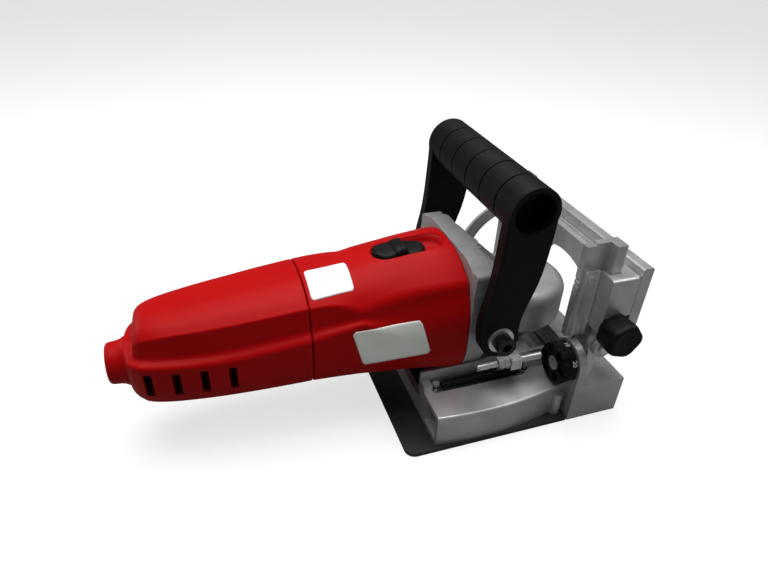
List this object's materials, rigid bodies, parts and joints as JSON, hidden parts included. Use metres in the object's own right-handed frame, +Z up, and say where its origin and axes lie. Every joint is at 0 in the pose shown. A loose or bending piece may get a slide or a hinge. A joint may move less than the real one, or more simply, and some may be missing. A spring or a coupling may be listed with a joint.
{
  "type": "biscuit joiner",
  "caption": "Hand-held plunge cutter for flat joint slots: a motor unit on a railed base, with a slotted front plate, a tilting height-adjustable fence, a depth dial and a top handle.",
  "frame": {"origin": "underside of the sole on the centre line, under the blade spindle with the motor unit at rest", "axes": "+X forward to the slotted front plate and the fence, +Y to the left side, +Z up"},
  "size_m": [0.335, 0.173, 0.1782],
  "materials": {
    "cast_aluminium": "satin, as cast and machined",
    "machined_aluminium": "fine machined",
    "gear_case_metal": "light grey, fine cast texture",
    "black_steel": "satin black",
    "steel": "zinc plated",
    "black_screws": "blackened steel",
    "spring_steel": "black spring wire",
    "scale_metal": "engraved plate",
    "bearing_steel": "ground",
    "gear_steel": "hardened",
    "blade_steel": "ground, with carbide teeth",
    "laminations": "stacked sheet with varnished windings",
    "copper": "turned copper",
    "brass_holder": "drawn brass",
    "carbon": "graphite",
    "fan_plastic": "moulded",
    "black_plastic": "satin moulded",
    "red_plastic": "glossy red moulded"
  },
  "bodies": {
    "base": {"base_frame": "cast_aluminium", "front_plate": "machined_aluminium", "sole_plate": "black_steel", "sole_screws": "steel", "front_plate_screws": "black_screws", "right_upright": "machined_aluminium", "left_upright": "machined_aluminium", "upright_screws": "steel", "height_scale": "scale_metal", "scale_screws": "steel", "right_return_spring": "spring_steel", "left_return_spring": "spring_steel", "spring_anchor_pins": "steel", "dial_screw": "steel", "detent_ball": "steel", "detent_spring": "spring_steel"},
    "dial": {"depth_dial": "black_plastic"},
    "motor_unit": {"slide_plate": "black_steel", "slide_screws": "steel", "gear_housing": "gear_case_metal", "flange_screws": "steel", "bearing_cover": "steel", "lower_bearing": "bearing_steel", "upper_bearing": "bearing_steel", "front_bearing": "bearing_steel", "stop_bracket": "steel", "left_spring_bracket": "steel", "depth_rod": "steel", "depth_rod_nuts": "steel", "handle": "black_plastic", "handle_washers": "steel", "handle_bolts": "black_screws", "motor_housing": "red_plastic", "rear_cover": "red_plastic", "cover_screws": "steel", "stator": "laminations", "brush_holders": "brass_holder", "carbon_brushes": "carbon", "switch_body": "black_plastic", "rear_bearing": "bearing_steel", "lock_spring": "spring_steel"},
    "armature": {"armature_shaft": "steel", "armature_core": "laminations", "commutator": "copper", "cooling_fan": "fan_plastic", "drive_pinion": "gear_steel"},
    "spindle_unit": {"spindle": "steel", "crown_gear": "gear_steel", "inner_flange": "steel", "blade": "blade_steel", "clamp_nut": "steel"},
    "switch": {"switch_slider": "black_plastic", "switch_link": "black_plastic"},
    "lock": {"lock_button": "black_plastic"},
    "slider": {"fence_slider": "cast_aluminium", "hinge_pins": "steel"},
    "height_lock": {"height_knob": "black_plastic"},
    "tilting_fence": {"fence": "cast_aluminium", "angle_quadrant": "scale_metal"},
    "tilt_lock": {"tilt_knob": "black_plastic"}
  },
  "joints": [
    {"name": "plunge", "type": "slide", "parent": "base", "child": "motor_unit", "axis": [1, 0, 0], "range_m": [0, 0.018], "stiffness_N_per_m": 1000, "springref_m": -0.01, "deforming": ["right_return_spring", "left_return_spring"]},
    {"name": "dial_turn", "type": "hinge", "parent": "base", "child": "dial", "pos_m": [0.007, -0.059, 0.043], "axis": [1, 0, 0], "continuous": true},
    {"name": "armature_spin", "type": "hinge", "parent": "motor_unit", "child": "armature", "pos_m": [-0.12, 0, 0.076], "axis": [1, 0, 0], "continuous": true},
    {"name": "spindle_spin", "type": "hinge", "parent": "motor_unit", "child": "spindle_unit", "pos_m": [0, 0, 0.04], "axis": [0, 0, 1], "continuous": true},
    {"name": "switch_slide", "type": "slide", "parent": "motor_unit", "child": "switch", "axis": [1, 0, 0], "range_m": [0, 0.008]},
    {"name": "spindle_lock", "type": "slide", "parent": "motor_unit", "child": "lock", "axis": [0, -1, 0], "range_m": [0, 0.003], "stiffness_N_per_m": 400, "springref_m": -0.003, "deforming": ["lock_spring"]},
    {"name": "fence_height", "type": "slide", "parent": "base", "child": "slider", "axis": [0, 0, 1], "range_m": [-0.005, 0.02]},
    {"name": "height_knob_turn", "type": "hinge", "parent": "slider", "child": "height_lock", "pos_m": [0.033, -0.078, 0.0745], "axis": [0, -1, 0], "range_deg": [0, 360]},
    {"name": "fence_tilt", "type": "hinge", "parent": "slider", "child": "tilting_fence", "pos_m": [0.033, 0, 0.057], "axis": [0, 1, 0], "range_deg": [0, 90]},
    {"name": "tilt_knob_turn", "type": "hinge", "parent": "slider", "child": "tilt_lock", "pos_m": [0.033, 0.078, 0.1035], "axis": [0, 1, 0], "range_deg": [0, 360]}
  ],
  "couplings": [
    {"joint": "spindle_spin", "follows": "armature_spin", "ratio": -0.33333}
  ]
}
